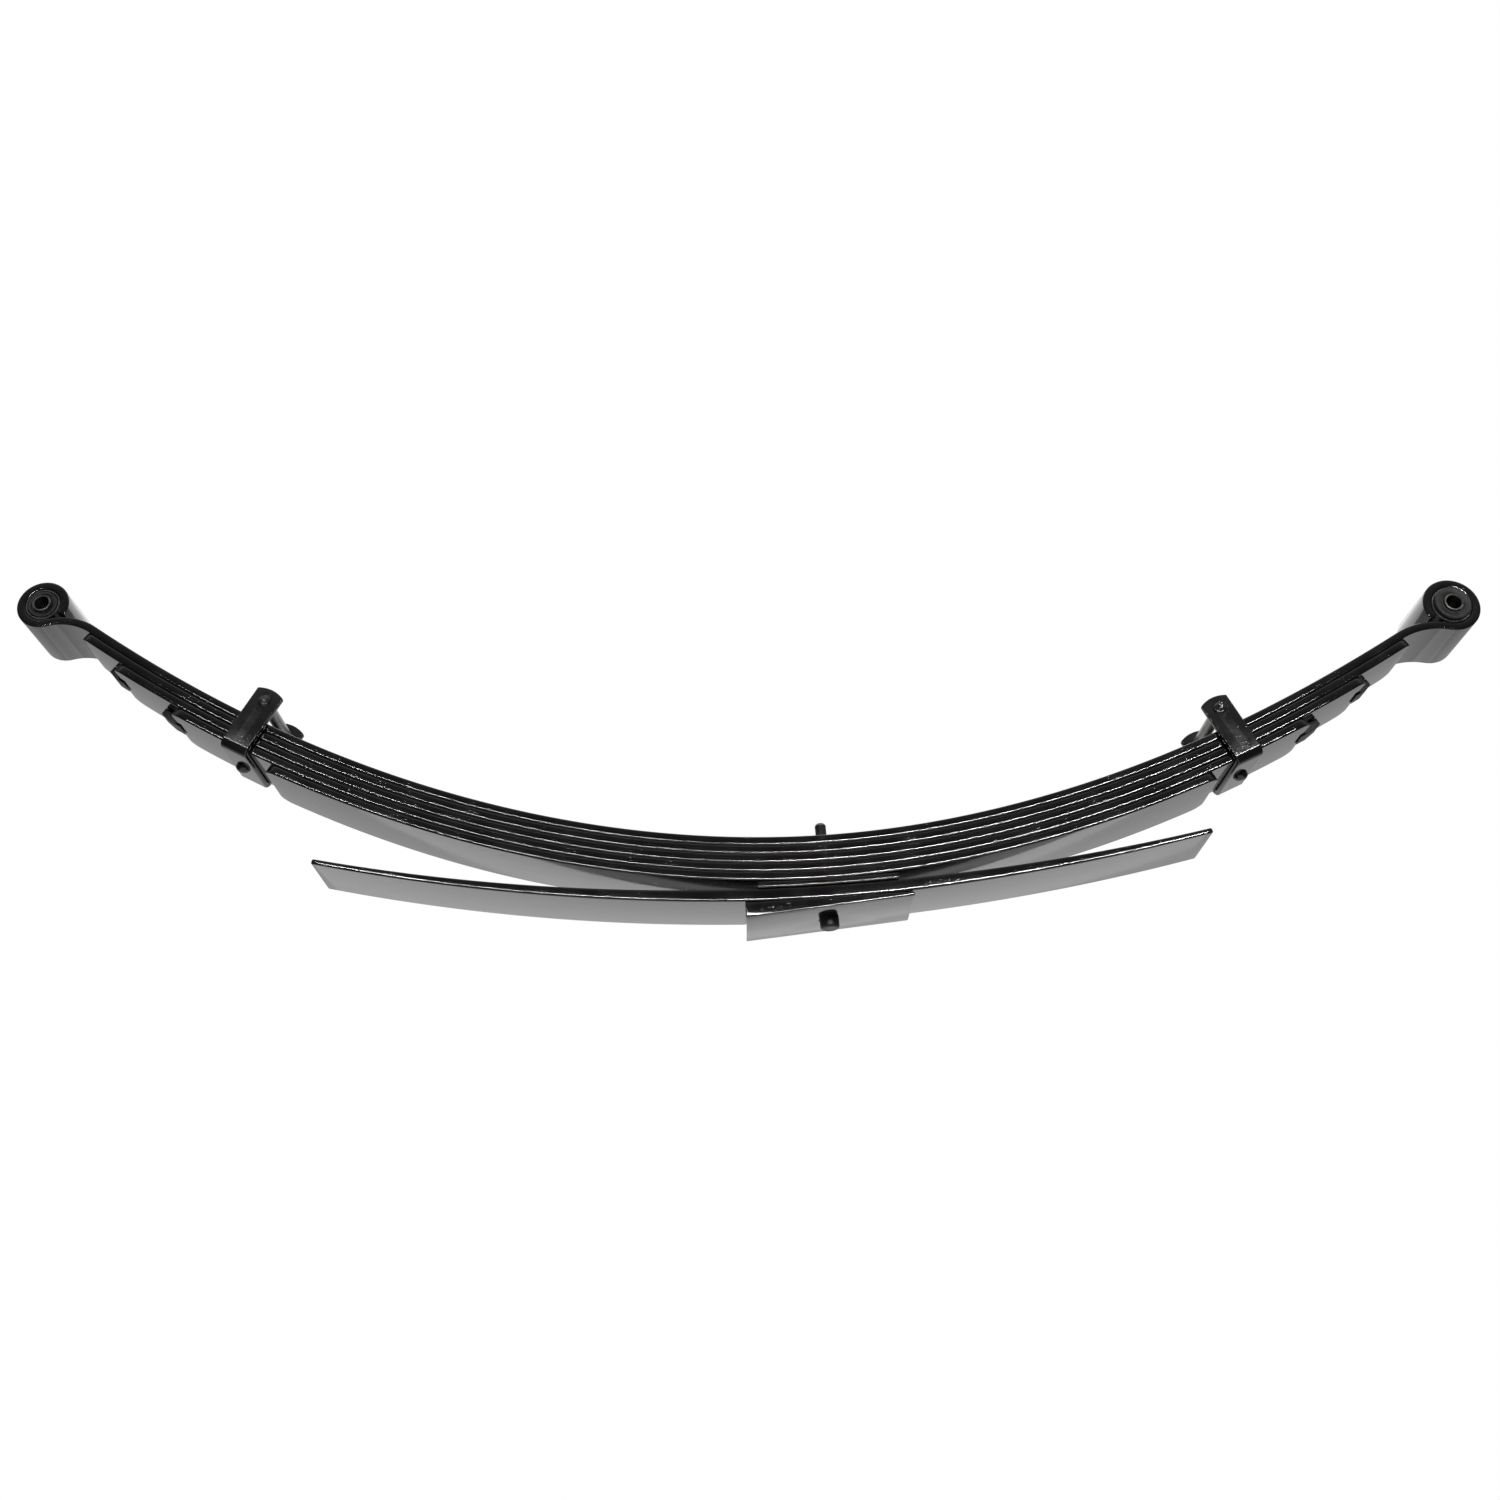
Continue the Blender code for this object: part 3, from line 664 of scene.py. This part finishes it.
def build_center_bolt():
    spin = bolt_axis().to_track_quat("Z", "Y").to_matrix()
    sides = 48
    top = SPOT_FACE_HEIGHT - GAP
    crest = top - BOLT_HEAD_HEIGHT
    end = stack_height() + BOLT_STUB
    thread_start = stack_height() - THREAD_START_DEPTH
    rounding, edge = BOLT_HEAD_ROUND, BOLT_HEAD_EDGE
    head = [(BOLT_HEAD_FLAT_RADIUS, crest)]
    head += arc((BOLT_HEAD_RADIUS - rounding, crest + rounding), rounding, -90, 0)
    head += arc((BOLT_HEAD_RADIUS - edge, top - edge), edge, 0, 90, 3)
    shank = [(BOLT_RADIUS, top), (BOLT_RADIUS, thread_start - 0.0002)]
    rings = [[(radius, along, 2 * math.pi * n / sides) for n in range(sides)]
             for radius, along in head + shank]
    rings += threaded_rings(thread_start, end - 0.0026, sides)
    point = [(BOLT_RADIUS - 0.0002, end - 0.0024), (BOLT_RADIUS - 0.0007, end - 0.0013),
             (BOLT_RADIUS - 0.0016, end - 0.0005), (BOLT_RADIUS - 0.0028, end)]
    rings += [[(radius, along, 2 * math.pi * n / sides) for n in range(sides)]
              for radius, along in point]
    placed = [[spin @ Vector((r * math.cos(a), r * math.sin(a), z)) for r, z, a in ring]
              for ring in rings]
    ride(add_object("center_bolt_body", skin(placed), BOLT_STEEL, 45), "spring_pack",
         "center_bolt")


def build_center_nut():
    axis = bolt_axis()
    spin = axis.to_track_quat("Z", "Y").to_matrix()
    base = stack_height() + GAP
    flat = NUT_ACROSS_FLATS / 2
    sides = 96
    rings = []
    for along in evenly(0.0, NUT_HEIGHT, 0.0003):
        depth = min(along, NUT_HEIGHT - along)
        cone = flat * NUT_CHAMFER_START + depth * NUT_CHAMFER_SLOPE
        ring = []
        for n in range(sides):
            turn = 2 * math.pi * n / sides
            hexagon = flat / math.cos((turn + math.pi / 6) % (math.pi / 3) - math.pi / 6)
            radius = min(hexagon, cone)
            ring.append(spin @ Vector((radius * math.cos(turn), radius * math.sin(turn),
                                       base + along)))
        rings.append(ring)
    nut = add_object("center_nut_body", skin(rings), BOLT_STEEL, 24)
    drill(nut, BOLT_HOLE_RADIUS, axis * (base + NUT_HEIGHT / 2), axis, NUT_HEIGHT)
    ride(nut, "spring_pack", "center_nut")


# ---------------------------------------------------------------- the eyes' bushings


def mirrored(half):
    """A whole profile of (radius, along) out of its half on the +along side."""
    return [(radius, -along) for radius, along in half[::-1]] + list(half)


def build_bushing(side):
    name, centre = NAMES[side], eye_point(side)
    body = f"{name}_arm"
    half = LEAF_WIDTH / 2
    bore, shell = SHELL_BORE_RADIUS[side], SHELL_RADIUS[side]
    face = [(shell, half - 0.0005), (shell - 0.0005, half), (bore + 0.0003, half),
            (bore, half - 0.0003)]
    ride(add_object(f"{name}_shell", turned(mirrored(face), centre, ACROSS), SHELL_STEEL), body,
         f"{name}_bushing_shell")

    hollow, filled = SLEEVE_RADIUS[side] + GAP, RUBBER_RADIUS[side]
    lip, end = RUBBER_LIP_RADIUS[side], half + RUBBER_OVERHANG[side]
    if side == FRONT:
        face = [(hollow, end - 0.0012), (hollow + 0.0008, end - 0.0014),
                (hollow + 0.0019, end - 0.0006)]
        face += arc((lip - 0.0014, end - 0.0014), 0.0014, 100, 0)
        face += [(lip, half + 0.0008), (lip - 0.0003, half + GAP), (filled, half - 0.0008)]
    else:
        face = [(hollow, end - 0.0004), (hollow + 0.0006, end - 0.0016),
                (hollow + 0.0014, end - 0.0016), (hollow + 0.0020, end - 0.0003)]
        face += arc((lip - 0.0008, end - 0.0008), 0.0008, 100, 0, 4)
        face += [(filled, half - 0.0018)]
    rubber = turned(mirrored(face), centre, ACROSS)
    ride(add_object(f"{name}_rubber", rubber, RUBBER, 40), body,
         f"{name}_bushing_rubber")

    end = half + SLEEVE_OVERHANG[side]
    inner, outer = SLEEVE_BORE_RADIUS[side], SLEEVE_RADIUS[side]
    face = [(inner, end - 0.0006), (inner + 0.0006, end)]
    face += arc((outer - 0.0005, end - 0.0005), 0.0005, 90, 0, 4)
    sleeve = turned(mirrored(face), centre, ACROSS)
    ride(add_object(f"{name}_sleeve_tube", sleeve, SLEEVE_STEEL),
         f"{name}_sleeve", f"{name}_inner_sleeve")


# ---------------------------------------------------------------- the rebound clamps


def build_strap(side):
    name = NAMES[side]
    point, up, lengthwise = clamp_frame(side)
    floor = -clamp_depth() - GAP
    edge = LEAF_WIDTH / 2 + STRAP_SIDE_CLEARANCE
    radius = STRAP_BEND_RADIUS
    outer, inner = [], []
    for corner, start in ((radius - edge, 180), (edge - radius, 270)):
        for n in range(13):
            turn = math.radians(start + 90 * n / 12)
            for row, reach in ((outer, radius + STRAP_THICKNESS), (inner, radius)):
                row.append((corner + reach * math.cos(turn),
                            floor + radius + reach * math.sin(turn)))
    outside, inside = outer[-1][0], inner[-1][0]
    rings = []
    for along in evenly(-STRAP_WIDTH / 2, STRAP_WIDTH / 2, STRAP_WIDTH / 16):
        top = STRAP_ARM_HEIGHT - STRAP_ARM_CROWN * (2 * along / STRAP_WIDTH) ** 2
        outline = (outer + [(outside, top), (inside, top)] + inner[::-1]
                   + [(-inside, top), (-outside, top)])
        rings.append([point + ACROSS * across + up * height + lengthwise * along
                      for across, height in outline])
    strap = add_object(f"{name}_strap", skin(rings), STRAP_PAINT)
    soften(strap, STRAP_BEVEL, angle=50)
    drill(strap, CROSS_BOLT_HOLE_RADIUS, point + up * CROSS_BOLT_HEIGHT, ACROSS, LEAF_WIDTH)
    ride(strap, f"{name}_arm", f"{name}_clamp_strap")


def build_clamp_fasteners(side):
    name = NAMES[side]
    body = f"{name}_arm"
    point, up, _ = clamp_frame(side)
    middle = point + up * CROSS_BOLT_HEIGHT
    inside = LEAF_WIDTH / 2 + STRAP_SIDE_CLEARANCE
    foot = inside + STRAP_THICKNESS + GAP
    head, crest = CROSS_BOLT_HEAD_RADIUS, foot + CROSS_BOLT_HEAD_HEIGHT
    peened = [(CROSS_BOLT_RADIUS, foot), (head - 0.0004, foot), (head, foot + 0.0003),
              (head - 0.0003, crest - 0.0007), (head - 0.0011, crest - 0.0002),
              (head - 0.0020, crest), (head - 0.0027, crest - 0.0002),
              (head - 0.0036, crest - 0.0007)]
    bolt = disc_stack(mirrored(peened), middle, ACROSS, 48)
    ride(add_object(f"{name}_cross_bolt", bolt, STRAP_PAINT, 45), body, f"{name}_clamp_bolt")

    end, bore = inside - GAP, CROSS_BOLT_HOLE_RADIUS
    profile = [(bore, -end), (TUBE_RADIUS - 0.0002, -end), (TUBE_RADIUS, 0.0002 - end),
               (TUBE_RADIUS, end - 0.0002), (TUBE_RADIUS - 0.0002, end), (bore, end)]
    tube = turned(profile, middle, ACROSS, 64)
    ride(add_object(f"{name}_spacer_tube", tube, TUBE_STEEL), body,
         f"{name}_clamp_tube")

    base = -clamp_depth() - GAP - STRAP_THICKNESS - GAP
    profile = []
    for degrees in (4, 10, 18, 27, 36, 46, 56, 66, 76, 86):
        turn = math.radians(degrees)
        profile.append((RIVET_HEAD_RADIUS * math.sin(turn),
                        base - RIVET_HEAD_HEIGHT * math.cos(turn)))
    profile += [(RIVET_HEAD_RADIUS - 0.0003, base), (RIVET_RADIUS, base),
                (RIVET_RADIUS, base + STRAP_THICKNESS + GAP)]
    rivet = disc_stack(profile, point, up, 48)
    ride(add_object(f"{name}_rivet", rivet, STRAP_PAINT, 40), body,
         f"{name}_clamp_rivet")


def build_tip_pad(side, index, place):
    tip = LEAF_TIPS[side][index - 1]
    top = index * LEAF_PITCH
    foot = top + LEAF_PITCH
    low = foot + PAD_TONGUE_THICKNESS
    near, far = tip + GAP, tip + PAD_LENGTHS[index]
    outline = ((near, top), (far, top), (far, top + PAD_TOE_THICKNESS),
               (near + PAD_SLOPE_LENGTH, low), (tip - PAD_TONGUE_LENGTH, low),
               (tip - PAD_TONGUE_LENGTH, foot), (near, foot))
    rings = []
    for across in (-PAD_HALF_WIDTH, PAD_HALF_WIDTH):
        ring = []
        for along, depth in outline:
            outward, height, _ = below_top(side, along, depth)
            ring.append((side * outward, across, height))
        rings.append(ring)
    name = f"{NAMES[side]}_pad_{place}"
    pad = add_object(name, skin(rings), PLASTIC)
    soften(pad, PAD_BEVEL, angle=25)
    ride(pad, f"{NAMES[side]}_arm", f"{NAMES[side]}_tip_pad_{place}")


# ---------------------------------------------------------------- floor, light and camera


def area_light(name, place, aim, size, power):
    """A rectangular light at a place, turned to a point, that the camera doesn't see."""
    light = bpy.data.lights.new(name, "AREA")
    light.shape = "RECTANGLE"
    light.size, light.size_y = size
    light.energy = power
    lamp = bpy.data.objects.new(name, light)
    lamp.location = place
    lamp.rotation_euler = (Vector(aim) - Vector(place)).to_track_quat("-Z", "Y").to_euler()
    lamp.visible_camera = False
    bpy.context.scene.collection.objects.link(lamp)
    return lamp


def strip_light(name, outer_end, aim, power):
    """A narrow light from the shared inner end to an outer one, facing a third point."""
    start, end = Vector(STRIP_INNER_END), Vector(outer_end)
    middle = (start + end) / 2
    lamp = area_light(name, middle, aim, ((end - start).length, STRIP_WIDTH), power)
    along = (end - start).normalized()
    back = middle - Vector(aim)
    back = (back - back.dot(along) * along).normalized()
    turn = Matrix((along, back.cross(along), back)).transposed()
    lamp.rotation_euler = turn.to_euler()
    lamp.data.spread = math.radians(STRIP_SPREAD_DEGREES)


def build_floor():
    made = bmesh.new()
    bmesh.ops.create_circle(made, cap_ends=True, radius=FLOOR_RADIUS, segments=96)
    bmesh.ops.translate(made, verts=made.verts, vec=(VIEW_CENTRE_X, 0.0, FLOOR_HEIGHT))
    n = Nodes("pale_floor")
    n.colour(n.mixed(n.noise(3, 3), (0.82, 0.82, 0.81), (0.86, 0.86, 0.86)))
    n.shader.inputs["Roughness"].default_value = 0.7
    floor = add_object("floor", made, n.material)


def build_world():
    """A surround that is bright below and behind, paler above and dim on the near side."""
    world = bpy.data.worlds.new("studio")
    world.use_nodes = True
    bpy.context.scene.world = world
    tree = world.node_tree
    background = tree.nodes["Background"]

    def add(kind, **settings):
        node = tree.nodes.new(kind)
        for key, value in settings.items():
            setattr(node, key, value)
        return node

    direction = add("ShaderNodeTexCoord").outputs["Generated"]

    def lobe(towards, low, high, strength):
        dot = add("ShaderNodeVectorMath", operation="DOT_PRODUCT")
        tree.links.new(direction, dot.inputs[0])
        dot.inputs[1].default_value = Vector(towards).normalized()
        spread = add("ShaderNodeMapRange", interpolation_type="SMOOTHSTEP")
        tree.links.new(dot.outputs["Value"], spread.inputs["Value"])
        for socket, number in zip(("From Min", "From Max", "To Min", "To Max"),
                                  (low, high, 0.0, strength)):
            spread.inputs[socket].default_value = number
        return spread.outputs["Result"]

    total = None
    for part in (lobe((0.0, 0.82, -0.57), 0.30, 0.97, 0.79),
                 lobe((0.0, 0.2, 1.0), 0.1, 0.9, 0.5)):
        joined = add("ShaderNodeMath", operation="ADD")
        tree.links.new(part, joined.inputs[0])
        if total is None:
            joined.inputs[1].default_value = SURROUND_BASE
        else:
            tree.links.new(total, joined.inputs[1])
        total = joined.outputs["Value"]
    seen = add("ShaderNodeLightPath").outputs["Is Camera Ray"]
    choose = add("ShaderNodeMix", data_type="FLOAT")
    tree.links.new(seen, choose.inputs["Factor"])
    tree.links.new(total, choose.inputs["A"])
    choose.inputs["B"].default_value = 1.0
    background.inputs["Color"].default_value = (1.0, 1.0, 1.0, 1.0)
    tree.links.new(choose.outputs["Result"], background.inputs["Strength"])


def build_lights():
    strip_light("right_strip", outer_end=(1.25, -1.80, 0.74), aim=(0.2, 0.0, 0.1), power=4.6)
    strip_light("left_strip", outer_end=(-1.35, -1.75, 0.77), aim=(-0.2, 0.0, 0.1), power=1.9)
    area_light("top_softbox", place=(0.0, 0.6, 2.2), aim=(0.0, 0.0, 0.1),
               size=(2.4, 1.2), power=22)
    area_light("back_softbox", place=(-0.1, 2.6, 1.5), aim=(-0.1, 0.0, 0.15),
               size=(2.6, 1.4), power=12)
    area_light("floor_bounce", place=(0.0, 1.6, -0.65), aim=(0.0, 0.0, 0.1),
               size=(2.6, 0.8), power=2)


def build_camera():
    camera = bpy.data.cameras.new("camera")
    camera.sensor_width = 36.0
    camera.lens = 38.4
    viewer = bpy.data.objects.new("camera", camera)
    viewer.location = (VIEW_CENTRE_X, -1.2498, -0.4249)
    viewer.rotation_euler = (math.radians(114.8), 0.0, 0.0)
    bpy.context.scene.collection.objects.link(viewer)
    bpy.context.scene.camera = viewer


def main():
    build_leaves()
    build_overload()
    build_seat_plates()
    build_center_bolt()
    build_center_nut()
    for side in (FRONT, REAR):
        build_bushing(side)
        build_strap(side)
        build_clamp_fasteners(side)
        for index, place in ((2, "upper"), (3, "lower")):
            build_tip_pad(side, index, place)
    build_floor()
    build_world()
    build_lights()
    build_camera()
    bpy.context.scene.view_settings.view_transform = "Standard"


main()
